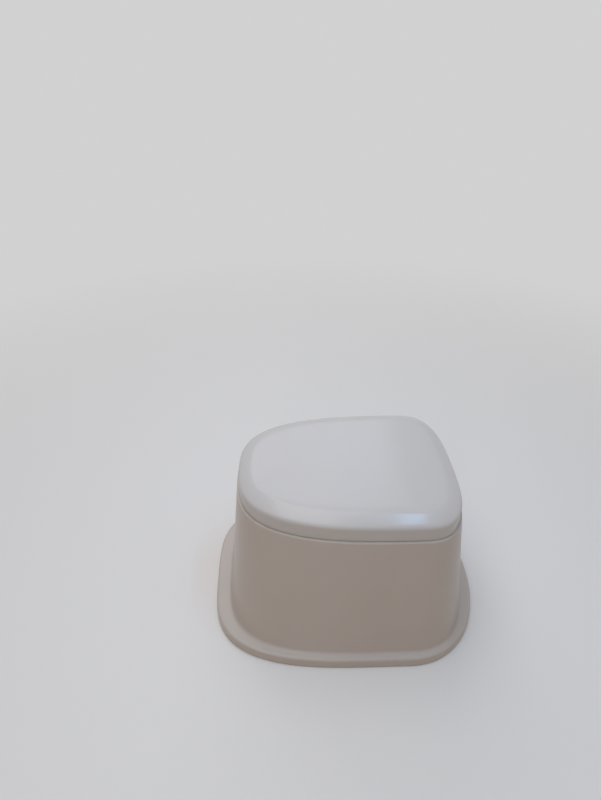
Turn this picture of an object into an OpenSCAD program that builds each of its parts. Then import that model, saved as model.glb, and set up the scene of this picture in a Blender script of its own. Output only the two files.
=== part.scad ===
// Raised seat pedestal for a floor-level toilet pan, with a hinged lid.
// The front points along -X, the hinge is at +X, and the floor is z = 0.

/* [Foot flange] */
// Length of the foot flange, front to back
base_l = 550; // [530:1:620]
// Width of the foot flange
base_w = 452; // [430:1:500]
// Distance from the widest station to the back of the flange
base_back = 165; // [150:1:190]
// Squareness of the flange's front half
base_front_n = 3.6; // [2.6:0.1:4]
// Squareness of the flange's back half
base_back_n = 2.15; // [2:0.05:3]
// Height of the flange rim
rim_h = 21; // [14:1:26]
// Width of the flange in front of the wall
rim_front = 32; // [24:1:38]
// Width of the flange beside the wall
rim_side = 15; // [14:1:28]
// Width of the flange behind the wall
rim_back = 33; // [24:1:40]
// Radius of the rim's upper edge
rim_round = 5; // [3:0.5:7]
// Lean of the rim's side over its height
rim_draft = 1; // [0:0.5:2]
// Radius of the fillet between the flange and the wall
rim_fillet = 8; // [4:1:12]
// Radius of each rubber floor pad
pad_r = 4; // [3:0.5:4]
// Gap between the rim and the floor
pad_gap = 1; // [1:0.5:4]

/* [Pedestal shell] */
// Height of the deck above the floor
deck_z = 290; // [240:1:340]
// Thickness of the moulded wall
wall_t = 3.5; // [2.5:0.1:4.5]
// Squareness of the wall's front half at its foot
foot_front_n = 3.7; // [2.8:0.1:4]
// Squareness of the wall's back half at its foot
foot_back_n = 2.5; // [2.2:0.1:3]
// How far the shoulder stands outside the lid
shoulder_w = 4; // [2:0.5:8]
// Drop from the deck to the shoulder
shoulder_drop = 6; // [3:0.5:8]
// Thickness of each rib under the deck
rib_t = 2.5; // [2:0.1:3.5]
// Reach of each rib in from the wall, at the deck
rib_reach = 34; // [20:1:40]
// Height of each rib
rib_h = 105; // [60:5:130]

/* [Lid] */
// Length of the lid, front to back
lid_l = 418; // [395:1:430]
// Width of the lid
lid_w = 340; // [325:1:355]
// Distance from the widest station to the back of the lid
lid_back = 92; // [80:1:100]
// Squareness of the lid's outline
lid_n = 2.95; // [2.5:0.05:3.6]
// Height of the lid's side, from the lower edge of its skirt to its top edge
lid_h = 34; // [30:1:45]
// Radius of the lid's top edge
lid_round = 8; // [6:0.5:12]
// Width of the sloping border inside the lid's top edge
lid_band = 21; // [10:1:30]
// Rise of the sloping border
lid_rise = 9; // [4:0.5:12]
// Rise of the lid's middle over its border
lid_crown = 1; // [0.5:0.5:6]
// Thickness of the lid
lid_t = 3; // [2:0.1:4]
// Gap between the lid's skirt and the shoulder
lid_gap = 1; // [1:0.5:5]
// Radius of each lid buffer
lid_buffer_r = 6; // [4:0.5:8]

/* [Seat] */
// Gap between the seat and the inside of the lid's skirt
seat_gap = 6; // [5:0.5:10]
// Gap between the deck and the seat
seat_lift = 3; // [2:0.5:5]
// Thickness of the seat, bottom edge to top
seat_h = 18; // [14:0.5:19]
// Thickness of the seat's moulded skin
seat_t = 4; // [3:0.5:5]
// Front reach of the seat opening from the middle
hole_front = 150; // [130:1:155]
// Back reach of the seat opening from the middle
hole_back = 104; // [90:1:108]
// Width of the seat opening
hole_w = 200; // [180:1:210]
// Radius of each seat buffer
seat_buffer_r = 8; // [6:0.5:9]

/* [Splash guard] */
// Depth of the guard below the deck
guard_depth = 140; // [80:1:180]
// Thickness of the guard's wall
guard_t = 3; // [2:0.1:4]
// Width of the rim that rests on the deck
guard_rim = 12; // [8:1:14]
// Inward lean of the guard's wall over its depth
guard_lean = 28; // [10:1:35]

/* [Hinge] */
// Radius of the hinge pins
pin_r = 4; // [3:0.5:5]
// Running gap round a hinge pin
pin_gap = 0.1; // [0.05:0.05:0.3]
// Outer radius of the knuckles
knuckle_r = 8; // [7:0.5:9]
// Distance of the pin's axis below the deck
axis_drop = 18; // [16:1:24]
// Distance of the pin's axis behind the lid's skirt
axis_back = 1; // [0:0.5:6]
// Distance of the innermost knuckle from the middle
knuckle_y = 20; // [12:1:30]
// Width of each fixed knuckle
fixed_knuckle_w = 8; // [6:1:10]
// Width of each seat knuckle
seat_knuckle_w = 10; // [8:1:12]
// Width of each lid knuckle
lid_knuckle_w = 12; // [8:1:14]
// Free space round every piece of the hinge that moves
clear = 5.5; // [5:0.5:7]

/* [Hidden] */
ivory = [0.90, 0.88, 0.83];
lid_white = [0.93, 0.92, 0.90];
grey_rubber = [0.45, 0.45, 0.45];
steel = [0.75, 0.76, 0.78];
$fn = 48;
sides = 72;

station = base_l / 2 - base_back;
shoulder_z = deck_z - shoulder_drop;
skirt_z = shoulder_z + lid_gap;
lid_edge_z = skirt_z + lid_h;
rim_z = pad_gap + rim_h;
lid_top_z = lid_edge_z + lid_rise;
seat_z = deck_z + seat_lift;
seat_top_z = seat_z + seat_h;
seat_ceiling_z = seat_top_z - seat_t - 1;

// An outline is [front reach, back reach, half width, front squareness, back squareness, station].
function shrink(o, d) = [o[0] - d, o[1] - d, o[2] - d, o[3], o[4], o[5]];
function between(a, b, t) = a * (1 - t) + b * t;
function signed_power(v, e) = v < 0 ? -pow(-v, e) : pow(v, e);
function spot(o, a) =
    let (front = cos(a) < 0, n = front ? o[3] : o[4], reach = front ? o[0] : o[1])
    [o[5] + reach * signed_power(cos(a), 2 / n), o[2] * signed_power(sin(a), 2 / n)];
function ring(o, z) = [for (i = [0:sides - 1]) let (p = spot(o, 360 * i / sides)) [p.x, p.y, z]];
// Distance from the station to the back of an outline, at a distance y from the middle.
function back_reach(o, y) = o[5] + o[1] * pow(1 - pow(abs(y) / o[2], o[4]), 1 / o[4]);

base_o = [base_l - base_back, base_back, base_w / 2, base_front_n, base_back_n, station];
foot_o = [
    base_o[0] - rim_front, base_o[1] - rim_back, base_o[2] - rim_side, foot_front_n, foot_back_n, station
];
lid_o = [lid_l - lid_back, lid_back, lid_w / 2, lid_n, lid_n, station];
shoulder_o = shrink(lid_o, -shoulder_w);
plateau_o = shrink(lid_o, lid_t + seat_gap - 1);
seat_o = shrink(lid_o, lid_t + seat_gap);
hole_o = [hole_front, hole_back, hole_w / 2, 2.3, 2.5, 0];
guard_o = shrink(hole_o, -4);
guard_low_o = shrink(guard_o, guard_lean);
deck_hole_o = shrink(guard_o, -1.5);

knuckle_gap = 1;
rest_gap = 0.3;
crown_x = -10;
seat_knuckle_y = knuckle_y + fixed_knuckle_w + knuckle_gap;
lid_knuckle_y = seat_knuckle_y + seat_knuckle_w + clear;
outer_knuckle_y = lid_knuckle_y + lid_knuckle_w + knuckle_gap;
hinge_end_y = outer_knuckle_y + fixed_knuckle_w;
skirt_x = back_reach(lid_o, lid_knuckle_y + lid_knuckle_w);
axis_x = skirt_x + axis_back;
axis_z = deck_z - axis_drop;
pocket_x = axis_x - knuckle_r - clear - 3;
pocket_z = axis_z - knuckle_r - clear - 3;
pocket_in_y = knuckle_y - 4;
pocket_out_y = hinge_end_y + 6;
bracket_t = 3;
lip_chamfer = 1;
notch_h = 17;
rim_top_o = shrink(base_o, rim_draft + rim_round);
flange_floor_o = shrink(base_o, wall_t + rim_draft + lip_chamfer);

// Skin that joins each ring to the next, and the last to the first.
module ring_loop(rings) {
    count = len(rings);
    polyhedron(
        points = [for (r = rings) each r],
        faces = [for (k = [0:count - 1], i = [0:sides - 1])
            let (a = k * sides, b = (k + 1) % count * sides, j = (i + 1) % sides)
            each [[a + i, b + i, b + j], [a + i, b + j, a + j]]]
    );
}

// Skin that joins each ring to the next, with a flat cap on the first and the last.
module ring_stack(rings) {
    count = len(rings);
    last = (count - 1) * sides;
    polyhedron(
        points = [for (r = rings) each r],
        faces = [
            [for (i = [0:sides - 1]) i],
            for (k = [0:count - 2], i = [0:sides - 1])
                let (a = k * sides, b = a + sides, j = (i + 1) % sides)
                each [[a + i, b + i, b + j], [a + i, b + j, a + j]],
            [for (i = [sides - 1:-1:0]) last + i]
        ]
    );
}

// Outline of the wall's outer face at a height z.
function wall_o(z) = between(foot_o, shoulder_o, (z - rim_z) / (shoulder_z - rim_z));

// Ring of the fillet between the flange and the wall, at an angle a from the flange.
// Where the flange is too narrow, the fillet is too.
function fillet_ring(a) =
    let (z = rim_z + rim_fillet * (1 - cos(a)))
    [for (i = [0:sides - 1])
        let (p = spot(rim_top_o, 360 * i / sides), q = spot(wall_o(z), 360 * i / sides))
        let (l = norm(p - q), s = q + (p - q) / l * min(rim_fillet, l - 0.5) * (1 - sin(a)))
        [s.x, s.y, z]];

module shell_skin() {
    flange_under = rim_z - wall_t;
    wall_low = rim_z + 14;
    wall_top = shoulder_z - 3;
    inner_top = shoulder_z - wall_t - 3;
    ring_loop([
        ring(shrink(base_o, 1.5), pad_gap),
        ring(base_o, pad_gap + 2),
        for (a = [90:-30:0]) ring(
            shrink(base_o, rim_draft + rim_round * (1 - sin(a))), rim_z - rim_round + rim_round * cos(a)),
        for (a = [0:25:75]) fillet_ring(a),
        for (z = [wall_low, rim_z + 60, shoulder_z - 60, wall_top]) ring(wall_o(z), z),
        ring(shrink(shoulder_o, 0.4), shoulder_z - 0.6),
        ring(shrink(shoulder_o, 1.4), shoulder_z),
        ring(shrink(plateau_o, -1), shoulder_z),
        ring(plateau_o, deck_z - 1),
        ring(shrink(plateau_o, 1), deck_z),
        ring(deck_hole_o, deck_z),
        ring(deck_hole_o, deck_z - wall_t),
        ring(shrink(plateau_o, wall_t), deck_z - wall_t),
        ring(shrink(plateau_o, wall_t - 1), shoulder_z - wall_t),
        ring(shrink(shoulder_o, wall_t + 2), shoulder_z - wall_t),
        for (z = [inner_top, wall_low]) ring(shrink(wall_o(z), wall_t), z),
        ring(foot_o, flange_under),
        ring(flange_floor_o, flange_under),
        ring(shrink(base_o, wall_t + rim_draft), flange_under - lip_chamfer),
        ring(shrink(base_o, wall_t), pad_gap)
    ]);
}

// One of the two recesses in the back of the shell that hold the hinges.
module pocket_block(grow) {
    translate([pocket_x - grow, pocket_in_y - grow, pocket_z - grow])
        cube([80, pocket_out_y - pocket_in_y + 2 * grow, deck_z + 20 - pocket_z + grow]);
}

// Solid that ends inside the shell's wall and deck, used to trim the ribs and the recesses' walls.
module shell_core() {
    deck_core_o = shrink(plateau_o, wall_t / 2);
    ring_stack([
        for (z = [rim_z + 12, shoulder_z - 1]) ring(shrink(wall_o(z), wall_t / 2), z),
        ring(deck_core_o, shoulder_z - 0.8),
        ring(deck_core_o, deck_z - 1)
    ]);
}

// Upright rib in the corner between the wall and the deck, square to the wall.
module rib(a) {
    root = spot(shrink(wall_o(deck_z - rib_h), wall_t), a);
    ahead = spot(wall_o(deck_z), a + 1) - spot(wall_o(deck_z), a - 1);
    translate([root.x, root.y, deck_z - rib_h]) rotate([90, 0, atan2(ahead.y, ahead.x) + 90])
        translate([0, 0, -rib_t / 2]) linear_extrude(rib_t)
            polygon([
                [-wall_t, 0], [1, 0], [rib_reach, rib_h - 14], [rib_reach, rib_h - 1], [-40, rib_h - 1]
            ]);
}

module pedestal_shell() {
    color(ivory)
    difference() {
        union() {
            shell_skin();
            for (side = [0, 1]) mirror([0, side, 0])
                intersection() {
                    shell_core();
                    union() {
                        pocket_block(wall_t);
                        for (a = [40, 75, 105, 130, 155]) rib(a);
                    }
                }
        }
        for (side = [0, 1]) mirror([0, side, 0]) pocket_block(0);
    }
}

module splash_guard() {
    rim_o = shrink(guard_o, -guard_rim);
    low_z = deck_z - guard_depth;
    color(ivory)
    ring_loop([
        ring(guard_low_o, low_z),
        ring(guard_o, deck_z - 8),
        ring(guard_o, deck_z),
        ring(rim_o, deck_z),
        ring(shrink(rim_o, 0.5), deck_z + 1.5),
        ring(shrink(rim_o, 2), deck_z + 2),
        ring(shrink(guard_o, 1), deck_z + 2),
        ring(shrink(guard_o, guard_t), deck_z),
        ring(shrink(guard_o, guard_t), deck_z - 8),
        ring(shrink(guard_low_o, guard_t), low_z)
    ]);
}

module seat_skin() {
    ring_loop([
        ring(shrink(seat_o, 1), seat_z),
        ring(seat_o, seat_z + 3),
        ring(seat_o, seat_top_z - 8),
        ring(shrink(seat_o, 2.3), seat_top_z - 3.2),
        ring(shrink(seat_o, 7), seat_top_z - 0.8),
        ring(shrink(seat_o, 15), seat_top_z),
        ring(shrink(hole_o, -24), seat_top_z - 0.6),
        ring(shrink(hole_o, -11), seat_top_z - 3),
        ring(shrink(hole_o, -3), seat_top_z - 7),
        ring(hole_o, seat_top_z - 12),
        ring(hole_o, seat_z + 1),
        ring(shrink(hole_o, -seat_t + 1), seat_z + 1),
        ring(shrink(hole_o, -seat_t - 3), seat_z + 5),
        ring(shrink(hole_o, -14), seat_ceiling_z),
        ring(shrink(seat_o, 9), seat_ceiling_z),
        ring(shrink(seat_o, seat_t), seat_ceiling_z - 5),
        ring(shrink(seat_o, seat_t), seat_z)
    ]);
}

// A plate with a round knuckle at the hinge axis, drawn in the XZ plane.
module knuckle(y, width, r, points) {
    translate([0, y + width, 0]) rotate([90, 0, 0])
        linear_extrude(width) union() {
            translate([axis_x, axis_z]) circle(r);
            polygon(points);
        }
}

module pin_bore(y, width) {
    translate([axis_x, y - 1, axis_z]) rotate([-90, 0, 0]) cylinder(r = pin_r + pin_gap, h = width + 2);
}

module seat_ring() {
    back_x = back_reach(seat_o, seat_knuckle_y + seat_knuckle_w);
    arm = [
        [axis_x - knuckle_r, axis_z],
        [pocket_x + 2, seat_z + 0.5],
        [back_x - 14, seat_z + 0.5],
        [back_x - 14, seat_ceiling_z + 1],
        [back_x - 6, seat_ceiling_z + 1],
        [back_x - 2, seat_z + 6],
        [axis_x + knuckle_r - 1, axis_z + 3]
    ];
    color(ivory)
    difference() {
        union() {
            seat_skin();
            for (side = [0, 1]) mirror([0, side, 0])
                knuckle(seat_knuckle_y, seat_knuckle_w, knuckle_r, arm);
        }
        for (side = [0, 1]) mirror([0, side, 0]) pin_bore(seat_knuckle_y, seat_knuckle_w);
    }
}

// The lid's crown is a set of rings, each the share s of the way from the middle to the border.
function crown_o(s) = between([0, 0, 0, lid_n, lid_n, crown_x], shrink(lid_o, lid_round + lid_band), s);
function crown_z(s) = lid_top_z + lid_crown * (1 - s * s);
// The border's rings, each the share s of the way from the top edge to the crown. It flattens as it rises.
function border_o(s) = shrink(lid_o, lid_round * 0.55 + (lid_round * 0.45 + lid_band) * s);
function border_z(s) = lid_edge_z - lid_round * 0.1 + (lid_rise + lid_round * 0.1) * s * (1.6 - 0.6 * s);

module lid_skin() {
    inner_o = shrink(lid_o, lid_t);
    inner_round = lid_round - lid_t;
    shares = [0.15, 0.5, 0.8];
    rises = [1, 0.66, 0.33];
    ring_stack([
        for (s = shares) ring(crown_o(s), crown_z(s) - lid_t),
        for (s = rises) ring(border_o(s), border_z(s) - lid_t),
        for (a = [30:20:90]) ring(
            shrink(inner_o, inner_round * (1 - sin(a))), lid_edge_z - lid_round + inner_round * cos(a)),
        ring(inner_o, skirt_z),
        ring(lid_o, skirt_z),
        for (a = [90:-15:30]) ring(
            shrink(lid_o, lid_round * (1 - sin(a))), lid_edge_z - lid_round + lid_round * cos(a)),
        for (i = [len(rises) - 1:-1:0]) ring(border_o(rises[i]), border_z(rises[i])),
        for (i = [len(shares) - 1:-1:0]) ring(crown_o(shares[i]), crown_z(shares[i]))
    ]);
}

module lid() {
    in_x = skirt_x - lid_t;
    arm = [
        [axis_x - knuckle_r, axis_z],
        [in_x + 0.5, skirt_z - 2],
        [in_x + 0.5, skirt_z + 16],
        [skirt_x - 0.5, skirt_z + 16],
        [skirt_x + 3, skirt_z + 4],
        [axis_x + knuckle_r, axis_z]
    ];
    color(lid_white)
    difference() {
        union() {
            lid_skin();
            for (side = [0, 1]) mirror([0, side, 0])
                knuckle(lid_knuckle_y, lid_knuckle_w, knuckle_r, arm);
        }
        for (side = [0, 1]) mirror([0, side, 0]) {
            pin_bore(lid_knuckle_y, lid_knuckle_w);
            translate([skirt_x - 12, seat_knuckle_y - clear, skirt_z - 1])
                cube([30, seat_knuckle_w + 2 * clear, notch_h]);
        }
    }
}

module hinge_bracket(side) {
    foot_x = pocket_x + rest_gap;
    foot_z = pocket_z;
    cheek = [
        [axis_x - knuckle_r, axis_z],
        [axis_x - knuckle_r, foot_z],
        [axis_x + knuckle_r, foot_z],
        [axis_x + knuckle_r, axis_z]
    ];
    color(ivory)
    mirror([0, side, 0]) difference() {
        union() {
            knuckle(knuckle_y, fixed_knuckle_w, knuckle_r, cheek);
            knuckle(outer_knuckle_y, fixed_knuckle_w, knuckle_r, cheek);
            translate([foot_x, knuckle_y - 2, foot_z])
                cube([axis_x + knuckle_r - foot_x, hinge_end_y - knuckle_y + 4, bracket_t]);
        }
        pin_bore(knuckle_y, hinge_end_y - knuckle_y);
    }
}

module hinge_pin(side) {
    color(steel)
    mirror([0, side, 0]) translate([axis_x, knuckle_y - 2, axis_z]) rotate([-90, 0, 0]) {
        cylinder(r = pin_r, h = hinge_end_y - knuckle_y + 2.5);
        translate([0, 0, hinge_end_y - knuckle_y + 2.3]) cylinder(r = pin_r + 2, h = 2);
    }
}

module seat_buffer(a) {
    p = spot(between(seat_o, hole_o, 0.5), a);
    color(grey_rubber) translate([p.x, p.y, deck_z]) cylinder(r = seat_buffer_r, h = seat_ceiling_z - deck_z);
}

module lid_buffer(a) {
    share = 0.9;
    p = spot(crown_o(share), a);
    low_z = seat_top_z + rest_gap;
    high_z = crown_z(share) - lid_t - rest_gap;
    color(grey_rubber) translate([p.x, p.y, low_z]) cylinder(r = lid_buffer_r, h = high_z - low_z);
}

module floor_pad(a) {
    p = spot(between(flange_floor_o, foot_o, 0.5), a);
    color(grey_rubber) translate([p.x, p.y, 0]) cylinder(r = pad_r, h = rim_z - wall_t);
}

pedestal_shell();
splash_guard();
seat_ring();
lid();
hinge_bracket(0);  // hinge_bracket_left
hinge_bracket(1);  // hinge_bracket_right
hinge_pin(0);  // hinge_pin_left
hinge_pin(1);  // hinge_pin_right
seat_buffer(135);  // seat_buffer_front_left
seat_buffer(-135);  // seat_buffer_front_right
seat_buffer(50);  // seat_buffer_back_left
seat_buffer(-50);  // seat_buffer_back_right
lid_buffer(150);  // lid_buffer_front_left
lid_buffer(-150);  // lid_buffer_front_right
lid_buffer(65);  // lid_buffer_back_left
lid_buffer(-65);  // lid_buffer_back_right
floor_pad(180);  // floor_pad_front
floor_pad(0);  // floor_pad_back
floor_pad(140);  // floor_pad_front_left
floor_pad(-140);  // floor_pad_front_right
floor_pad(95);  // floor_pad_side_left
floor_pad(-95);  // floor_pad_side_right
floor_pad(45);  // floor_pad_back_left
floor_pad(-45);  // floor_pad_back_right
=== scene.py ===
"""Dresses the raised toilet seat pedestal: moulded skins, hinges, rubber pads, finishes and studio."""
import math

import bpy
from mathutils import Matrix, Vector


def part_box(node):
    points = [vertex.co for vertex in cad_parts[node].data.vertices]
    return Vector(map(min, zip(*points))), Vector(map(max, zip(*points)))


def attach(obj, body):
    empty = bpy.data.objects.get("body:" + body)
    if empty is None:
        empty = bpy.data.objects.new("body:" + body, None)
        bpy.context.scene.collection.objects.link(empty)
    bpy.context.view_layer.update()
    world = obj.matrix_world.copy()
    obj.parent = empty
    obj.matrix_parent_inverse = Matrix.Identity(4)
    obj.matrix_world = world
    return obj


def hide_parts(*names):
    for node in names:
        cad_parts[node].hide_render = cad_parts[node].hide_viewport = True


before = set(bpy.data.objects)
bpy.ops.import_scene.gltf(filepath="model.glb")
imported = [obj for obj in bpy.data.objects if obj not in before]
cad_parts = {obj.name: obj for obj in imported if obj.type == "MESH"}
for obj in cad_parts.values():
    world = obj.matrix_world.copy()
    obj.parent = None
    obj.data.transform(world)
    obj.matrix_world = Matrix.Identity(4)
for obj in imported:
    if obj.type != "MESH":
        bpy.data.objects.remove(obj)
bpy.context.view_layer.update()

# Sizes in metres. The front points along -X and the hinge is at +X.
# A name that ends in _N gives an outline's squareness: 2 is an ellipse, and more is squarer
MM = 0.001

# Foot flange
BASE_BACK = 165 * MM
BASE_FRONT_N, BASE_BACK_N = 3.6, 2.15
RIM_HEIGHT = 21 * MM
RIM_DRAFT = 1 * MM
RIM_ROUND = 5 * MM
RIM_FILLET = 6.5 * MM
FLANGE_FRONT = 32 * MM
FLANGE_BACK = 33 * MM
FLANGE_SIDE = 15 * MM

# Pedestal shell
WALL = 3.5 * MM
FOOT_FRONT_N, FOOT_BACK_N = 3.7, 2.5
SHOULDER_DROP = 5.5 * MM
SHOULDER_WIDTH = 4 * MM
PLATEAU_GAP = 5 * MM
# Ribs on the left side, at turns in degrees from the back. Each slants out to its reach and ends in a
# straight head in the deck
RIB_TURNS = (40, 75, 105, 130, 155)
RIB_THICKNESS = 2.5 * MM
RIB_REACH = 34 * MM
RIB_HEIGHT = 105 * MM
RIB_BEND = 14 * MM
RIB_HEAD = 13 * MM

# Lid
LID_BACK = 92 * MM
LID_N = 2.95
LID_HEIGHT = 34 * MM
LID_SKIN = 3 * MM
LID_ROUND = 9.5 * MM
LID_BAND = 19.5 * MM
LID_RISE = 9 * MM
LID_CROWN = 1 * MM
SKIRT_GAP = 0.5 * MM

# Seat
SEAT_GAP = 6 * MM
SEAT_LIFT = 3 * MM
SEAT_SKIN = 4 * MM
HOLE_FRONT = 150 * MM
HOLE_BACK = 104 * MM
HOLE_SIDE = 100 * MM
HOLE_FRONT_N, HOLE_BACK_N = 2.3, 2.5

# Splash guard
GUARD_SKIN = 3 * MM
GUARD_LEAN = 28 * MM
GUARD_RIM = 12 * MM
GUARD_SET_BACK = 4 * MM
GUARD_PLAY = 1.5 * MM

# Hinge
AXIS_BACK = 1 * MM
PIN_RADIUS = 4 * MM
PIN_GAP = 0.1 * MM
KNUCKLE_RADIUS = 8 * MM
KNUCKLE_GAP = 1 * MM
FIXED_KNUCKLE = 8 * MM
SEAT_KNUCKLE = 10 * MM
LID_KNUCKLE = 12 * MM
CLEAR = 5.5 * MM
BRACKET_LIP = 2 * MM
BRACKET_GAP = 0.3 * MM
# How far a recess reaches past its bracket, towards the middle and away from it
RECESS_INNER = 2 * MM
RECESS_OUTER = 4 * MM
# A recess is open through the shell's back and top, so its tool reaches this far along X and over the deck
RECESS_LENGTH = 80 * MM
RECESS_OVER = 20 * MM

shell_low, shell_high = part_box("pedestal_shell")
lid_low, lid_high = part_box("lid")
seat_top_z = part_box("seat_ring")[1][2]
guard_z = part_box("splash_guard")[0][2]
pin_low, pin_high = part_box("hinge_pin_left")
bracket_low, bracket_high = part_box("hinge_bracket_left")

pad_gap = shell_low[2]
rim_z = pad_gap + RIM_HEIGHT
deck_z = shell_high[2]
shoulder_z = deck_z - SHOULDER_DROP
skirt_z = shoulder_z + SKIRT_GAP
lid_edge_z = skirt_z + LID_HEIGHT
seat_z = deck_z + SEAT_LIFT
axis_x = (pin_low[0] + pin_high[0]) / 2
axis_z = (pin_low[2] + pin_high[2]) / 2
skirt_x = axis_x - AXIS_BACK
seat_arm_y = bracket_low[1] + BRACKET_LIP + FIXED_KNUCKLE + KNUCKLE_GAP
lid_arm_y = seat_arm_y + SEAT_KNUCKLE + CLEAR
station = shell_high[0] - BASE_BACK
wall_low = rim_z + 14 * MM
wall_top = shoulder_z - 1.5 * MM
wall_rise = wall_top - wall_low

# Points along each quarter of an outline
QUARTER_STEPS = 24
# An outline starts as a square from -1 to 1: what counts as its corners and its middle point, and the gap
# that its rounded corners may leave where they meet
SQUARE_CORNER = 0.99
SQUARE_MIDDLE = 0.5
SQUARE_GAP = 1e-4
# Height between two levels of a skin while they are still stacked to be bridged
STACK_RISE = 0.1
# Sides of a round bar
BAR_SIDES = 64
# A length that counts as none
TINY = 1e-6


class Plan:
    """An outline seen from above: its reach to the front, back and side of its widest station."""

    def __init__(self, front, back, half, front_n, back_n, at):
        self.front, self.back, self.half = front, back, half
        self.front_n, self.back_n, self.at = front_n, back_n, at

    def shrunk(self, d):
        return Plan(self.front - d, self.back - d, self.half - d, self.front_n, self.back_n, self.at)

    def towards(self, other, share):
        pairs = zip(vars(self).values(), vars(other).values())
        return Plan(*(a + (b - a) * share for a, b in pairs))

    def spot(self, turn):
        """The outline's point at a turn in degrees."""
        across, along = math.cos(math.radians(turn)), math.sin(math.radians(turn))
        reach, power = (self.front, 2 / self.front_n) if across < 0 else (self.back, 2 / self.back_n)
        x = self.at + reach * math.copysign(abs(across) ** power, across)
        return Vector((x, self.half * math.copysign(abs(along) ** power, along)))


base = Plan(
    station - shell_low[0], shell_high[0] - station, shell_high[1], BASE_FRONT_N, BASE_BACK_N, station)
foot = Plan(
    base.front - FLANGE_FRONT, base.back - FLANGE_BACK, base.half - FLANGE_SIDE,
    FOOT_FRONT_N, FOOT_BACK_N, station)
lid_plan = Plan(station - lid_low[0], LID_BACK, lid_high[1], LID_N, LID_N, station)
shoulder = lid_plan.shrunk(-SHOULDER_WIDTH)
plateau = lid_plan.shrunk(LID_SKIN + PLATEAU_GAP)
seat_plan = lid_plan.shrunk(LID_SKIN + SEAT_GAP)
hole = Plan(HOLE_FRONT, HOLE_BACK, HOLE_SIDE, HOLE_FRONT_N, HOLE_BACK_N, 0.0)
guard = hole.shrunk(-GUARD_SET_BACK)
guard_mouth = guard.shrunk(GUARD_LEAN)
deck_hole = guard.shrunk(-GUARD_PLAY)


def wall(z):
    """Outline of the shell's outer wall at a height."""
    return foot.towards(shoulder, (z - rim_z) / (shoulder_z - rim_z))


# Modelling


def pick(*pieces):
    """Selects only these pieces and makes the first one active."""
    bpy.ops.object.select_all(action="DESELECT")
    for piece in pieces:
        piece.select_set(True)
    bpy.context.view_layer.objects.active = pieces[0]


def edit(piece):
    """Opens the mesh of one piece."""
    pick(piece)
    bpy.ops.object.mode_set(mode="EDIT")


def leave_edit():
    bpy.ops.object.mode_set(mode="OBJECT")


def select_points(piece, wanted):
    """Selects the vertices whose place passes the test, in edit mode."""
    bpy.ops.mesh.select_mode(type="VERT")
    bpy.ops.mesh.select_all(action="DESELECT")
    leave_edit()
    for vertex in piece.data.vertices:
        vertex.select = wanted(vertex.co)
    bpy.ops.object.mode_set(mode="EDIT")


def face_outwards():
    """Turns all faces outwards, in edit mode."""
    bpy.ops.mesh.select_all(action="SELECT")
    bpy.ops.mesh.normals_make_consistent(inside=False)


def settle(piece):
    """Puts a piece's place, turn and size into its mesh."""
    pick(piece)
    bpy.ops.object.transform_apply(location=True, rotation=True, scale=True)


def finish_modifiers(piece):
    pick(piece)
    for modifier in list(piece.modifiers):
        bpy.ops.object.modifier_apply(modifier=modifier.name)


def join(pieces):
    pick(*pieces)
    bpy.ops.object.join()
    return pieces[0]


def course(plan, number):
    """One level of a skin: a square whose corners are rounded until they meet, less its face."""
    bpy.ops.mesh.primitive_plane_add(size=2, location=(0, 0, 0))
    loop = bpy.context.object
    bpy.ops.object.mode_set(mode="EDIT")
    bpy.ops.mesh.subdivide(number_cuts=1)
    for side, squareness in ((-1, plan.front_n), (1, plan.back_n)):
        select_points(loop, lambda co: co.x * side > SQUARE_CORNER and abs(co.y) > SQUARE_CORNER)
        # This profile bends a corner into a superellipse of that squareness
        bpy.ops.mesh.bevel(
            affect="VERTICES", offset_type="PERCENT", offset_pct=100, segments=QUARTER_STEPS,
            profile=2 ** (-2 / squareness))
    bpy.ops.mesh.select_all(action="SELECT")
    bpy.ops.mesh.remove_doubles(threshold=SQUARE_GAP)
    select_points(loop, lambda co: abs(co.x) + abs(co.y) < SQUARE_MIDDLE)
    bpy.ops.mesh.delete(type="VERT")
    for side, reach in ((-1, plan.front), (1, plan.back)):
        select_points(loop, lambda co: co.x * side > TINY)
        bpy.ops.transform.resize(value=(reach, 1, 1), center_override=(0, 0, 0))
    bpy.ops.mesh.select_all(action="SELECT")
    bpy.ops.transform.resize(value=(1, plan.half, 1), center_override=(0, 0, 0))
    bpy.ops.transform.translate(value=(plan.at, 0, number * STACK_RISE))
    leave_edit()
    loop.vertex_groups.new(name=f"course_{number}").add(range(len(loop.data.vertices)), 1, "REPLACE")
    return loop


def select_courses(*numbers):
    """Selects the outlines of some levels, in edit mode."""
    bpy.ops.mesh.select_all(action="DESELECT")
    for number in numbers:
        bpy.ops.object.vertex_group_set_active(group=f"course_{number}")
        bpy.ops.object.vertex_group_select()


def skin(name, levels, closed=True, smoothing=1):
    """A moulded skin: outlines are stacked, each is bridged to the next, and then each goes to its height."""
    piece = join([course(plan, number) for number, (plan, z) in enumerate(levels)])
    piece.name = name
    piece.data.name = name
    edit(piece)
    bpy.ops.mesh.select_mode(type="EDGE")
    pairs = list(zip(range(len(levels)), range(1, len(levels))))
    if closed:
        pairs.append((len(levels) - 1, 0))
    for pair in pairs:
        select_courses(*pair)
        bpy.ops.mesh.bridge_edge_loops()
    for number, (plan, z) in enumerate(levels):
        select_courses(number)
        bpy.ops.transform.translate(value=(0, 0, z - number * STACK_RISE))
    if not closed:
        for number in (0, len(levels) - 1):
            select_courses(number)
            bpy.ops.mesh.fill_grid(span=QUARTER_STEPS)
    face_outwards()
    leave_edit()
    piece.vertex_groups.clear()
    if smoothing:
        smooth = piece.modifiers.new("smooth", "SUBSURF")
        smooth.levels = smoothing
        smooth.render_levels = smoothing
        finish_modifiers(piece)
    return piece


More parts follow.
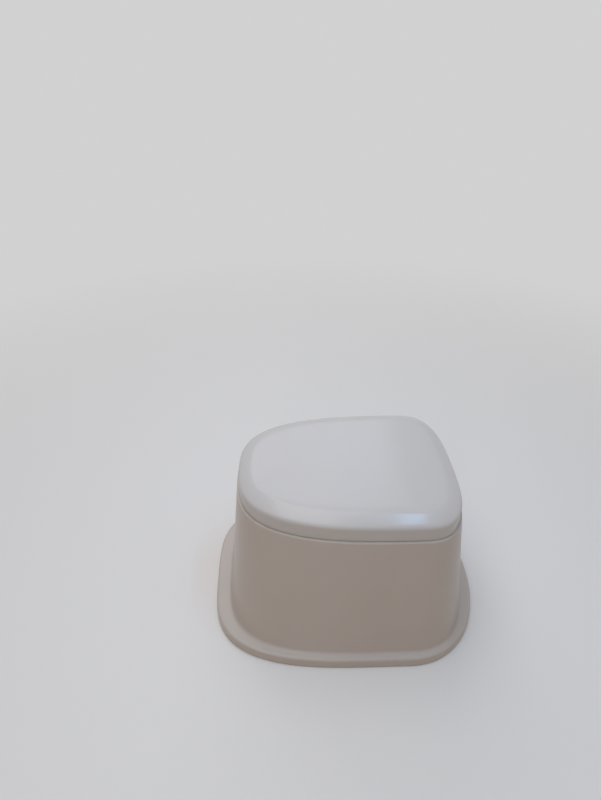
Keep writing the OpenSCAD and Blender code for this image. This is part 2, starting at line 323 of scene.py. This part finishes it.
def bevel(piece, width, segments=3, angle=35):
    """Rounds a piece's edges that are sharper than the angle."""
    rounding = piece.modifiers.new("rounding", "BEVEL")
    rounding.width = width
    rounding.segments = segments
    rounding.limit_method = "ANGLE"
    rounding.angle_limit = math.radians(angle)
    finish_modifiers(piece)


def block(name, low, high, edge=0.0):
    """A box between two corners, with its edges broken where an edge is given."""
    centre = [(a + b) / 2 for a, b in zip(low, high)]
    bpy.ops.mesh.primitive_cube_add(size=1, location=centre)
    piece = bpy.context.object
    piece.name = name
    piece.scale = [b - a for a, b in zip(low, high)]
    settle(piece)
    if edge:
        bevel(piece, edge)
    return piece


def bar(name, radius, centre, length):
    """A round bar along Y."""
    bpy.ops.mesh.primitive_cylinder_add(
        vertices=BAR_SIDES, radius=radius, depth=length, location=centre, rotation=(math.pi / 2, 0, 0))
    piece = bpy.context.object
    piece.name = name
    settle(piece)
    return piece


def combine(piece, tool, operation):
    """Unites, cuts or trims a piece with a tool, which is used up."""
    cut = piece.modifiers.new("cut", "BOOLEAN")
    cut.operation = operation
    cut.solver = "EXACT"
    cut.object = tool
    finish_modifiers(piece)
    bpy.data.objects.remove(tool)
    return piece


def merge_close(piece, gap):
    """Merges points that lie closer together than the gap."""
    edit(piece)
    bpy.ops.mesh.select_all(action="SELECT")
    bpy.ops.mesh.remove_doubles(threshold=gap)
    leave_edit()


def both_sides(piece):
    """A piece with its mirror image in the same mesh."""
    twin = piece.copy()
    twin.data = piece.data.copy()
    bpy.context.collection.objects.link(twin)
    twin.scale = (1, -1, 1)
    settle(twin)
    edit(twin)
    face_outwards()
    leave_edit()
    return join([piece, twin])


def shade(piece, angle=35):
    pick(piece)
    bpy.ops.object.shade_smooth_by_angle(angle=math.radians(angle))


def place(piece, name, body, slot, material, *nodes):
    """Names a finished piece, gives it its finish, and puts it on its body in place of its nodes."""
    piece.name = name
    piece.data.name = name
    piece.data.materials.clear()
    piece.data.materials.append(material)
    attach(piece, body)
    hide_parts(*nodes)


# Shader sums


class Wire:
    """A shader value. Python sums on it add Math nodes."""

    def __init__(self, board, socket):
        self.board, self.socket = board, socket

    def maths(self, operation, other, swapped=False):
        values = (other, self) if swapped else (self, other)
        return self.board.node("ShaderNodeMath", {"operation": operation}, dict(enumerate(values)))

    def beside(self, output):
        """Another output of the node that this value comes from."""
        return Wire(self.board, self.socket.node.outputs[output])

    def __add__(self, other):
        return self.maths("ADD", other)

    def __radd__(self, other):
        return self.maths("ADD", other, True)

    def __mul__(self, other):
        return self.maths("MULTIPLY", other)

    def __rmul__(self, other):
        return self.maths("MULTIPLY", other, True)


class Wiring:
    """A tree of shader nodes."""

    def __init__(self, tree):
        self.tree = tree

    def feed(self, socket, value):
        if isinstance(value, Wire):
            self.tree.links.new(value.socket, socket)
        elif socket.type == "RGBA" and len(value) == 3:
            socket.default_value = (*value, 1)
        else:
            socket.default_value = value

    def node(self, kind, settings, values, output=0):
        """Adds a node, sets it up, fills its inputs and returns one of its outputs."""
        made = self.tree.nodes.new(kind)
        for key, value in settings.items():
            setattr(made, key, value)
        for key, value in values.items():
            self.feed(made.inputs[key], value)
        return Wire(self, made.outputs[output])


class Paint(Wiring):
    """A material and the nodes that feed its shader."""

    def __init__(self, name):
        self.material = bpy.data.materials.new(name)
        self.material.use_nodes = True
        super().__init__(self.material.node_tree)
        self.shader = self.tree.nodes["Principled BSDF"]
        self.coords = self.node("ShaderNodeTexCoord", {}, {}, "Object")

    def noise(self, scale, detail=2.0, stretch=(1, 1, 1), shift=(0, 0, 0)):
        """Cloudy values about 0.5, with a scale in features per metre."""
        mapping = {"Vector": self.coords, "Scale": stretch, "Location": shift}
        where = self.node("ShaderNodeMapping", {}, mapping)
        return self.node("ShaderNodeTexNoise", {}, {"Vector": where, "Scale": scale, "Detail": detail})

    def ramp(self, value, low, high, out_low=0.0, out_high=1.0):
        """The value's stretch from low to high, eased and carried over to the output's stretch."""
        return self.node(
            "ShaderNodeMapRange", {"interpolation_type": "SMOOTHSTEP"},
            {"Value": value, "From Min": low, "From Max": high, "To Min": out_low, "To Max": out_high})

    def mix(self, factor, first, second):
        """One colour turning into another."""
        made = self.tree.nodes.new("ShaderNodeMix")
        made.data_type = "RGBA"
        self.feed(made.inputs["Factor"], factor)
        colours = [s for s in made.inputs if s.type == "RGBA"]
        self.feed(colours[0], first)
        self.feed(colours[1], second)
        return Wire(self, next(s for s in made.outputs if s.type == "RGBA"))

    def height(self):
        """The point's height above the floor, in metres."""
        return self.node("ShaderNodeSeparateXYZ", {}, {"Vector": self.coords}, "Z")

    def finish(self, colour, roughness, bumps):
        """Feeds the shader; bumps are pairs of a height value and its depth in metres."""
        self.feed(self.shader.inputs["Base Color"], colour)
        self.feed(self.shader.inputs["Roughness"], roughness)
        surface = None
        for value, depth in bumps:
            values = {"Height": value, "Distance": depth, "Strength": 1.0}
            if surface:
                values["Normal"] = surface
            surface = self.node("ShaderNodeBump", {}, values)
        self.feed(self.shader.inputs["Normal"], surface)
        return self.material


def moulded_plastic(name, colour, aged, roughness, grain, coat=0.0):
    """Glossy moulded plastic: faint clouds, handling scuffs, dust by the floor and an orange-peel skin."""
    paint = Paint(name)
    paint.shader.inputs["Coat Weight"].default_value = coat
    paint.shader.inputs["Coat Roughness"].default_value = 0.13
    clouds = paint.noise(5, 3)
    fine_clouds = paint.noise(38, 4, shift=(3, 1, 7))
    scuffs = paint.ramp(paint.noise(26, 6, stretch=(1, 7, 2.5), shift=(11, 5, 2)), 0.60, 0.72)
    hairlines = paint.ramp(paint.noise(60, 3, stretch=(1.2, 14, 8), shift=(2, 9, 4)), 0.66, 0.70)
    dust = paint.ramp(paint.height(), 12 * MM, 1 * MM) * paint.ramp(paint.noise(60, 5), 0.35, 0.75)
    tone = paint.ramp(clouds, 0.3, 0.75, 0.0, 0.35) + fine_clouds * 0.08 + dust * 0.4
    tinted = paint.mix(tone, colour, aged)
    gloss = roughness + fine_clouds * 0.05 + scuffs * 0.07 + hairlines * 0.04 + dust * 0.2
    waves = paint.noise(9, 1, shift=(6, 6, 1))
    peel = paint.noise(grain, 2)
    return paint.finish(tinted, gloss, [(waves, 0.5 * MM), (peel, 0.02 * MM), (hairlines, 0.003 * MM)])


def grey_rubber():
    """Matt moulded rubber with a dusty bloom."""
    paint = Paint("grey_rubber")
    bloom = paint.ramp(paint.noise(90, 5), 0.35, 0.7)
    colour = paint.mix(bloom, RUBBER_COLOUR, RUBBER_BLOOM)
    return paint.finish(colour, 0.68 + bloom * 0.14, [(paint.noise(1500, 2), 0.04 * MM)])


def turned_steel():
    """Plain steel pins with turning marks round their axis."""
    paint = Paint("turned_steel")
    marks = paint.noise(300, 2, stretch=(1, 12, 1))
    paint.shader.inputs["Metallic"].default_value = 1.0
    colour = paint.mix(marks, STEEL_DARK, STEEL_BRIGHT)
    return paint.finish(colour, 0.28 + marks * 0.14, [(marks, 0.01 * MM)])


LID_COLOUR, LID_AGED = (0.65, 0.635, 0.63), (0.61, 0.588, 0.568)
# The shell's ivory is darker and warmer than the lid's: partly its own warmer tint, partly painted shade and
# painted warm bounce light for its walls
SHELL_TONE_WITH_PAINTED_SHADE, SHELL_AGED = (0.63, 0.58, 0.54), (0.57, 0.51, 0.46)
SEAT_COLOUR, SEAT_AGED = (0.64, 0.615, 0.58), (0.60, 0.565, 0.515)
RUBBER_COLOUR, RUBBER_BLOOM = (0.045, 0.045, 0.047), (0.085, 0.083, 0.08)
STEEL_DARK, STEEL_BRIGHT = (0.50, 0.50, 0.51), (0.64, 0.64, 0.65)

lid_plastic = moulded_plastic("lid_plastic", LID_COLOUR, LID_AGED, 0.36, 700, 0.5)
shell_plastic = moulded_plastic("shell_plastic", SHELL_TONE_WITH_PAINTED_SHADE, SHELL_AGED, 0.28, 520)
seat_plastic = moulded_plastic("seat_plastic", SEAT_COLOUR, SEAT_AGED, 0.27, 700)
rubber = grey_rubber()
steel = turned_steel()


# Pieces


def outer_levels():
    """Up the outside of the shell: the flange's side and rim, the fillet and the wall."""
    levels = [
        (base.shrunk(2.2 * MM), pad_gap),
        (base.shrunk(0.8 * MM), pad_gap),
        (base, pad_gap + 0.9 * MM),
        (base, pad_gap + 3 * MM),
        (base.shrunk(RIM_DRAFT * 0.8), rim_z - RIM_ROUND - 3 * MM),
    ]
    for turn in (90, 65, 40, 15):
        bend = math.radians(turn)
        plan = base.shrunk(RIM_DRAFT + RIM_ROUND * (1 - math.sin(bend)))
        levels.append((plan, rim_z - RIM_ROUND * (1 - math.cos(bend))))
    for turn in (0, 20, 40, 60, 80):
        bend = math.radians(turn)
        z = rim_z + RIM_FILLET * (1 - math.cos(bend))
        levels.append((wall(z).shrunk((0.5 * MM - RIM_FILLET) * (1 - math.sin(bend))), z))
    shares = (0, 0.05, 0.2, 0.4, 0.6, 0.8, 0.95, 0.985, 1)
    return levels + [(wall(wall_low + wall_rise * t), wall_low + wall_rise * t) for t in shares]


def deck_levels():
    """From the shoulder over the deck, round the edge of its hole and back underneath."""
    return [
        (shoulder.shrunk(0.3 * MM), shoulder_z - 0.4 * MM),
        (shoulder.shrunk(1.2 * MM), shoulder_z),
        (plateau.shrunk(-2.5 * MM), shoulder_z),
        (plateau.shrunk(-0.8 * MM), shoulder_z + 0.4 * MM),
        (plateau, shoulder_z + 1.6 * MM),
        (plateau, deck_z - 1.6 * MM),
        (plateau.shrunk(0.6 * MM), deck_z - 0.4 * MM),
        (plateau.shrunk(2 * MM), deck_z),
        (plateau.towards(deck_hole, 0.5), deck_z),
        (deck_hole.shrunk(-2 * MM), deck_z),
        (deck_hole, deck_z - 0.8 * MM),
        (deck_hole, deck_z - WALL + 0.8 * MM),
        (deck_hole.shrunk(-2 * MM), deck_z - WALL),
        (plateau.shrunk(WALL).towards(deck_hole, 0.5), deck_z - WALL),
        (plateau.shrunk(WALL + 1.5 * MM), deck_z - WALL),
        (plateau.shrunk(WALL), deck_z - WALL - 1 * MM),
        (plateau.shrunk(WALL - 1 * MM), shoulder_z - WALL),
        (shoulder.shrunk(WALL + 3 * MM), shoulder_z - WALL),
        (shoulder.shrunk(WALL + 0.8 * MM), shoulder_z - WALL - 0.8 * MM),
    ]


def inner_levels():
    """Down the inside of the wall and out along the underside of the flange."""
    top = shoulder_z - WALL - 4 * MM
    under = rim_z - WALL
    heights = (top, top - 12 * MM, top - 0.5 * wall_rise, wall_low + 14 * MM, wall_low + 2 * MM)
    return [(wall(z).shrunk(WALL), z) for z in heights] + [
        (foot.shrunk(WALL * 0.5), rim_z + 2 * MM),
        (foot.shrunk(0.5 * MM), under + 0.8 * MM),
        (foot.shrunk(-1.5 * MM), under),
        (base.shrunk(WALL + RIM_DRAFT + 2.2 * MM), under),
        (base.shrunk(WALL + RIM_DRAFT + 0.6 * MM), under - 0.8 * MM),
        (base.shrunk(WALL + RIM_DRAFT), under - 3 * MM),
        (base.shrunk(WALL), pad_gap + 2 * MM),
        (base.shrunk(WALL - 0.2 * MM), pad_gap + 0.4 * MM),
    ]


def hinge_recess(grow):
    """The space of the left hinge's recess in the shell, grown on all sides but the top and back."""
    low = (bracket_low[0] - BRACKET_GAP - grow, bracket_low[1] - RECESS_INNER - grow, bracket_low[2] - grow)
    high = (low[0] + RECESS_LENGTH, bracket_high[1] + RECESS_OUTER + grow, deck_z + RECESS_OVER)
    return low, high


def rib(turn):
    """An upright rib in the corner between the wall and the deck, square to the wall."""
    low = deck_z - RIB_HEIGHT
    root = wall(low).shrunk(WALL).spot(turn)
    ahead = wall(deck_z).spot(turn + 1) - wall(deck_z).spot(turn - 1)
    half = RIB_THICKNESS / 2
    outside = 40 * MM
    piece = block("rib", (-outside, -half, 0), (RIB_REACH, half, RIB_HEIGHT - RIB_BEND))
    edit(piece)
    select_points(piece, lambda co: co.z < MM and co.x > 0)
    bpy.ops.transform.translate(value=(MM - RIB_REACH, 0, 0))
    select_points(piece, lambda co: co.z < MM and co.x < 0)
    bpy.ops.transform.translate(value=(outside - WALL, 0, 0))
    select_points(piece, lambda co: co.z > MM)
    bpy.ops.mesh.select_mode(type="FACE")
    bpy.ops.mesh.extrude_region_move(TRANSFORM_OT_translate={"value": (0, 0, RIB_HEAD)})
    leave_edit()
    piece.rotation_euler = (0, 0, math.atan2(ahead.y, ahead.x) + math.pi / 2)
    piece.location = (root.x, root.y, low)
    settle(piece)
    return piece


def shell_core():
    """Solid that ends inside the shell's wall and deck, to trim the ribs and the recesses' linings."""
    inset = WALL / 2
    low = rim_z + 12 * MM
    top = shoulder_z - 1 * MM
    return skin("core", [
        (wall(low).shrunk(inset), low),
        (wall(top).shrunk(inset), top),
        (plateau.shrunk(inset), top + 0.2 * MM),
        (plateau.shrunk(inset), deck_z - 1 * MM),
    ], closed=False, smoothing=0)


def make_shell():
    shell = skin("shell", outer_levels() + deck_levels() + inner_levels())
    lining = both_sides(join([block("lining", *hinge_recess(WALL))] + [rib(turn) for turn in RIB_TURNS]))
    shell = combine(shell, combine(lining, shell_core(), "INTERSECT"), "UNION")
    shell = combine(shell, both_sides(block("recess", *hinge_recess(0), edge=1.5 * MM)), "DIFFERENCE")
    shade(shell, 30)
    place(shell, "moulded_shell", "pedestal", "ivory_plastic", shell_plastic, "pedestal_shell")


def make_guard():
    rim = guard.shrunk(-GUARD_RIM)
    middle_z = (guard_z + deck_z - 8 * MM) / 2
    sleeve = skin("guard", [
        (guard_mouth.shrunk(0.4 * MM), guard_z),
        (guard_mouth, guard_z + 0.6 * MM),
        (guard_mouth.towards(guard, 0.03), guard_z + 4 * MM),
        (guard_mouth.towards(guard, 0.5), middle_z),
        (guard, deck_z - 10 * MM),
        (guard, deck_z - 2 * MM),
        (guard.shrunk(-0.5 * MM), deck_z - 0.05 * MM),
        (guard.shrunk(-3 * MM), deck_z + 0.05 * MM),
        (rim.shrunk(1 * MM), deck_z + 0.05 * MM),
        (rim, deck_z + 0.5 * MM),
        (rim.shrunk(0.5 * MM), deck_z + 1.5 * MM),
        (rim.shrunk(2 * MM), deck_z + 2 * MM),
        (guard.shrunk(-2 * MM), deck_z + 2 * MM),
        (guard.shrunk(GUARD_SKIN * 0.6), deck_z + 1.2 * MM),
        (guard.shrunk(GUARD_SKIN), deck_z - 1.5 * MM),
        (guard.shrunk(GUARD_SKIN), deck_z - 10 * MM),
        (guard_mouth.towards(guard, 0.5).shrunk(GUARD_SKIN), middle_z),
        (guard_mouth.towards(guard, 0.03).shrunk(GUARD_SKIN), guard_z + 4 * MM),
        (guard_mouth.shrunk(GUARD_SKIN), guard_z + 0.6 * MM),
        (guard_mouth.shrunk(GUARD_SKIN - 0.4 * MM), guard_z),
    ])
    shade(sleeve)
    place(sleeve, "guard_sleeve", "pedestal", "ivory_plastic", shell_plastic, "splash_guard")


def hinge_arm(y, width, root_low, root_high):
    """A knuckle on the hinge pin, drawn out to a root inside the piece that it carries.

    The root's two corners are given in the XZ plane.
    """
    knuckle = bar("knuckle", KNUCKLE_RADIUS, (axis_x, y + width / 2, axis_z), width)
    root = block("root", (root_low[0], y, root_low[1]), (root_high[0], y + width, root_high[1]))
    arm = join([knuckle, root])
    edit(arm)
    bpy.ops.mesh.select_all(action="SELECT")
    bpy.ops.mesh.convex_hull()
    bpy.ops.mesh.select_all(action="SELECT")
    bpy.ops.mesh.dissolve_limited(angle_limit=math.radians(1))
    leave_edit()
    bevel(arm, 0.6 * MM, 2, 40)
    bore = bar("bore", PIN_RADIUS + PIN_GAP, (axis_x, y + width / 2, axis_z), width * 2)
    return combine(arm, bore, "DIFFERENCE")


def make_seat():
    ceiling = seat_top_z - SEAT_SKIN - 1 * MM
    ring = skin("seat", [
        (seat_plan.shrunk(1.4 * MM), seat_z),
        (seat_plan.shrunk(0.3 * MM), seat_z + 1.2 * MM),
        (seat_plan, seat_z + 4 * MM),
        (seat_plan, seat_top_z - 9 * MM),
        (seat_plan.shrunk(0.9 * MM), seat_top_z - 5.2 * MM),
        (seat_plan.shrunk(3.4 * MM), seat_top_z - 2.2 * MM),
        (seat_plan.shrunk(8 * MM), seat_top_z - 0.5 * MM),
        (seat_plan.shrunk(15 * MM), seat_top_z),
        (hole.shrunk(-26 * MM), seat_top_z - 0.5 * MM),
        (hole.shrunk(-16 * MM), seat_top_z - 1.7 * MM),
        (hole.shrunk(-8 * MM), seat_top_z - 4.2 * MM),
        (hole.shrunk(-2.4 * MM), seat_top_z - 8 * MM),
        (hole, seat_top_z - 12 * MM),
        (hole, seat_z + 2 * MM),
        (hole.shrunk(-0.8 * MM), seat_z + 1 * MM),
        (hole.shrunk(-2.6 * MM), seat_z + 1 * MM),
        (hole.shrunk(-SEAT_SKIN), seat_z + 2.4 * MM),
        (hole.shrunk(-SEAT_SKIN - 3 * MM), seat_z + 6 * MM),
        (hole.shrunk(-14 * MM), ceiling),
        (seat_plan.shrunk(11 * MM), ceiling),
        (seat_plan.shrunk(SEAT_SKIN + 1 * MM), ceiling - 4 * MM),
        (seat_plan.shrunk(SEAT_SKIN), ceiling - 8 * MM),
        (seat_plan.shrunk(SEAT_SKIN), seat_z + 0.8 * MM),
        (seat_plan.shrunk(SEAT_SKIN - 0.8 * MM), seat_z),
    ])
    root_x = seat_plan.at + seat_plan.back - 3 * MM
    arm = hinge_arm(
        seat_arm_y, SEAT_KNUCKLE, (root_x - 4 * MM, seat_z + 0.5 * MM), (root_x, seat_z + 8 * MM))
    seat = combine(ring, both_sides(arm), "UNION")
    # The union leaves slivers beside the arms' roots
    merge_close(seat, 0.24 * MM)
    shade(seat)
    place(seat, "seat_moulding", "pedestal", "seat_plastic", seat_plastic, "seat_ring")


def make_lid():
    inner = lid_plan.shrunk(LID_SKIN)
    middle = Plan(0, 0, 0, LID_N, LID_N, -10 * MM)
    crown_edge = lid_plan.shrunk(LID_ROUND + LID_BAND)
    spring = lid_edge_z - LID_ROUND
    shares = (0.15, 0.4, 0.65, 0.85)
    rises = (1, 0.8, 0.6, 0.4, 0.2)

    def crown(share, drop):
        """A level of the crowned top, at a share of the way from its middle to its edge."""
        height = lid_edge_z + LID_RISE + LID_CROWN * (1 - share * share)
        return middle.towards(crown_edge, share), height - drop

    def border(share, drop):
        """A level of the sloping border, which flattens as it rises."""
        plan = lid_plan.shrunk(LID_ROUND * 0.55 + (LID_ROUND * 0.45 + LID_BAND) * share)
        rise = (LID_RISE + LID_ROUND * 0.1) * share * (1.35 - 0.35 * share)
        return plan, lid_edge_z - LID_ROUND * 0.1 + rise - drop

    def rounded(plan, radius, turn):
        """A level of the rounded top edge, at a turn in degrees from upright."""
        bend = math.radians(turn)
        return plan.shrunk(radius * (1 - math.sin(bend))), spring + radius * math.cos(bend)

    levels = [crown(share, LID_SKIN) for share in shares]
    levels += [border(share, LID_SKIN) for share in rises]
    levels += [rounded(inner, LID_ROUND - LID_SKIN, turn) for turn in (30, 50, 70, 90)]
    levels += [
        (inner, spring - 6 * MM),
        (inner, skirt_z + 2 * MM),
        (inner.shrunk(-0.4 * MM), skirt_z + 0.3 * MM),
        (inner.shrunk(-1 * MM), skirt_z),
        (lid_plan.shrunk(0.8 * MM), skirt_z),
        (lid_plan.shrunk(0.2 * MM), skirt_z + 0.3 * MM),
        (lid_plan, skirt_z + 1.5 * MM),
        (lid_plan, spring - 6 * MM),
    ]
    levels += [rounded(lid_plan, LID_ROUND, turn) for turn in (90, 75, 60, 45, 30)]
    levels += [border(share, 0) for share in reversed(rises)]
    levels += [crown(share, 0) for share in reversed(shares)]
    cover = skin("lid", levels, closed=False)
    arm = hinge_arm(
        lid_arm_y, LID_KNUCKLE,
        (skirt_x - 2.6 * MM, skirt_z - 2 * MM), (skirt_x - 0.6 * MM, skirt_z + 16 * MM))
    notch = block(
        "notch", (skirt_x - 12 * MM, seat_arm_y - CLEAR, skirt_z - 8 * MM),
        (skirt_x + 18 * MM, lid_arm_y, skirt_z + 16 * MM), 2 * MM)
    cover = combine(cover, both_sides(notch), "DIFFERENCE")
    cover = combine(cover, both_sides(arm), "UNION")
    shade(cover)
    place(cover, "lid_moulding", "lid", "lid_plastic", lid_plastic, "lid")


def close_copy(node, width):
    """A CAD node's mesh as a piece of its own, merged and with its edges broken."""
    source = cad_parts[node]
    piece = bpy.data.objects.new("copy", source.data.copy())
    bpy.context.collection.objects.link(piece)
    piece.data.transform(source.matrix_world)
    edit(piece)
    bpy.ops.mesh.select_all(action="SELECT")
    bpy.ops.mesh.remove_doubles(threshold=TINY)
    bpy.ops.mesh.dissolve_limited(angle_limit=math.radians(1))
    leave_edit()
    bevel(piece, width, 3, 40)
    shade(piece, 40)
    return piece


def make_small_pieces():
    for side in ("left", "right"):
        bracket = close_copy(f"hinge_bracket_{side}", 0.6 * MM)
        place(bracket, f"bracket_{side}", "pedestal", "ivory_plastic", shell_plastic, f"hinge_bracket_{side}")
        pin = close_copy(f"hinge_pin_{side}", 0.5 * MM)
        place(pin, f"pin_{side}", "pedestal", "pin_steel", steel, f"hinge_pin_{side}")
    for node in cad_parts:
        if "buffer" in node or "pad" in node:
            body = "lid" if node.startswith("lid") else "pedestal"
            place(close_copy(node, 1.2 * MM), f"rubber_{node}", body, "grey_rubber", rubber, node)


make_shell()
make_guard()
make_seat()
make_lid()
make_small_pieces()


# Studio

# The floor is round, and its whole rim sweeps up into a backdrop
FLOOR_SIDES = 96
FLOOR_RADIUS = 2.6
FLOOR_BAND = 0.2
SWEEP_RADIUS = 1.2
SWEEP_STEPS = 10
BACKDROP_HEIGHT = 2.5
# Colour of the floor and backdrop as they are seen, and in the light that they return
PALE_FLOOR = (0.95, 0.945, 0.935)
PALE_BACKDROP = (0.64, 0.64, 0.64)
RETURNED_TONE = (0.72, 0.62, 0.53)
# Light from all round, from the horizon's strength to the strength straight above
AIR_COLOUR = (0.92, 0.96, 1.0)
AIR_AT_HORIZON, AIR_ABOVE = 0.24, 0.52


def stage_paper():
    """Pale paper where the camera or a reflection sees it, and a warmer tone in the light that it returns."""
    paint = Paint("studio_paper")
    paint.feed(paint.shader.inputs["Base Color"], RETURNED_TONE)
    paint.feed(paint.shader.inputs["Roughness"], 0.9)
    pale = paint.node("ShaderNodeBsdfDiffuse", {}, {"Color": PALE_FLOOR})
    glow = paint.node("ShaderNodeEmission", {}, {"Color": PALE_BACKDROP})
    distance = paint.node("ShaderNodeVectorMath", {"operation": "LENGTH"}, {0: paint.coords}, "Value")
    far = paint.ramp(distance, 0.35, 2.2)
    seen = paint.node("ShaderNodeMixShader", {}, {0: far, 1: pale, 2: glow})
    camera_ray = paint.node("ShaderNodeLightPath", {}, {}, "Is Camera Ray")
    glossy_ray = camera_ray.beside("Is Glossy Ray")
    clear_ray = camera_ray.beside("Is Transmission Ray")
    direct = camera_ray.maths("MAXIMUM", glossy_ray).maths("MAXIMUM", clear_ray)
    warm = Wire(paint, paint.shader.outputs["BSDF"])
    surface = paint.node("ShaderNodeMixShader", {}, {0: direct, 1: warm, 2: seen})
    paint.feed(paint.tree.nodes["Material Output"].inputs["Surface"], surface)
    return paint.material


def make_stage():
    bpy.ops.mesh.primitive_circle_add(
        vertices=FLOOR_SIDES, radius=FLOOR_RADIUS, fill_type="NGON", location=(0, 0, 0))
    floor = bpy.context.object
    floor.name = "studio_floor"
    bpy.ops.object.mode_set(mode="EDIT")
    bpy.ops.mesh.select_all(action="SELECT")
    bpy.ops.mesh.inset(thickness=FLOOR_BAND)
    select_points(floor, lambda co: math.hypot(co.x, co.y) > FLOOR_RADIUS - FLOOR_BAND / 2)
    bpy.ops.mesh.select_mode(type="EDGE")
    turns = [math.radians(90 * step / SWEEP_STEPS) for step in range(SWEEP_STEPS + 1)]
    for start, end in zip(turns, turns[1:]):
        before, reach = (FLOOR_RADIUS + SWEEP_RADIUS * math.sin(turn) for turn in (start, end))
        lift = SWEEP_RADIUS * (math.cos(start) - math.cos(end))
        bpy.ops.mesh.extrude_edges_move(TRANSFORM_OT_translate={"value": (0, 0, lift)})
        bpy.ops.transform.resize(value=(reach / before, reach / before, 1), center_override=(0, 0, 0))
    bpy.ops.mesh.extrude_edges_move(TRANSFORM_OT_translate={"value": (0, 0, BACKDROP_HEIGHT)})
    bpy.ops.mesh.select_all(action="SELECT")
    bpy.ops.mesh.normals_make_consistent(inside=True)
    leave_edit()
    shade(floor, 60)
    floor.data.materials.append(stage_paper())


def aim(thing, target):
    thing.rotation_euler = (Vector(target) - thing.location).to_track_quat("-Z", "Y").to_euler()


def soft_light(name, place_at, target, size, power, colour):
    lamp = bpy.data.lights.new(name, "AREA")
    lamp.shape = "RECTANGLE"
    lamp.size, lamp.size_y = size
    lamp.energy = power
    lamp.color = colour
    light = bpy.data.objects.new(name, lamp)
    bpy.context.collection.objects.link(light)
    light.location = place_at
    aim(light, target)


def make_lights():
    middle = (0, 0, 0.2)
    soft_light("overhead", (-0.36, 0.10, 2.1), middle, (1.9, 0.9), 10.2, (0.98, 0.955, 0.97))
    soft_light("window", (-0.35, 1.9, 1.95), middle, (2.0, 1.0), 8.6, (0.87, 0.90, 1.0))
    soft_light("fill", (-0.25, -0.75, 1.0), middle, (0.4, 0.3), 0.35, (1.0, 0.97, 0.94))
    soft_light("glint", (0.51, -0.16, 2.2), (0, -0.16, 0.2), (0.95, 0.14), 4.2, (0.30, 0.60, 1.0))
    soft_light("spark", (-0.62, -2.4, 1.2), middle, (0.12, 0.12), 2.5, (1.0, 0.96, 0.94))


def make_air():
    world = bpy.data.worlds.new("studio_air")
    bpy.context.scene.world = world
    world.use_nodes = True
    air = Wiring(world.node_tree)
    background = air.tree.nodes["Background"]
    air.feed(background.inputs["Color"], AIR_COLOUR)
    direction = air.node("ShaderNodeTexCoord", {}, {}, "Generated")
    upward = air.node("ShaderNodeSeparateXYZ", {}, {"Vector": direction}, "Z")
    strength = air.node("ShaderNodeMapRange", {}, {
        "Value": upward, "From Min": 0.0, "From Max": 1.0, "To Min": AIR_AT_HORIZON, "To Max": AIR_ABOVE})
    air.feed(background.inputs["Strength"], strength)


# The camera stands at the photograph's eye, in the object's frame, with its turns in degrees
EYE = Vector((-0.1404, -0.8791, 1.055))
PITCH_DOWN = 33.53
YAW_RIGHT = 2.79
SIDEWAYS_TIP = 0.63
LENS = 26.47
SENSOR = 36


def make_camera():
    camera = bpy.data.objects.new("camera", bpy.data.cameras.new("camera"))
    bpy.context.collection.objects.link(camera)
    camera.data.lens = LENS
    camera.data.sensor_width = SENSOR
    camera.data.clip_start = 0.01
    yaw = Matrix.Rotation(math.radians(-YAW_RIGHT), 4, "Z")
    pitch = Matrix.Rotation(math.radians(90 - PITCH_DOWN), 4, "X")
    tip = Matrix.Rotation(math.radians(SIDEWAYS_TIP), 4, "Z")
    camera.matrix_world = Matrix.Translation(EYE) @ yaw @ pitch @ tip
    bpy.context.scene.camera = camera


make_stage()
make_lights()
make_air()
make_camera()
bpy.context.scene.view_settings.view_transform = "Standard"
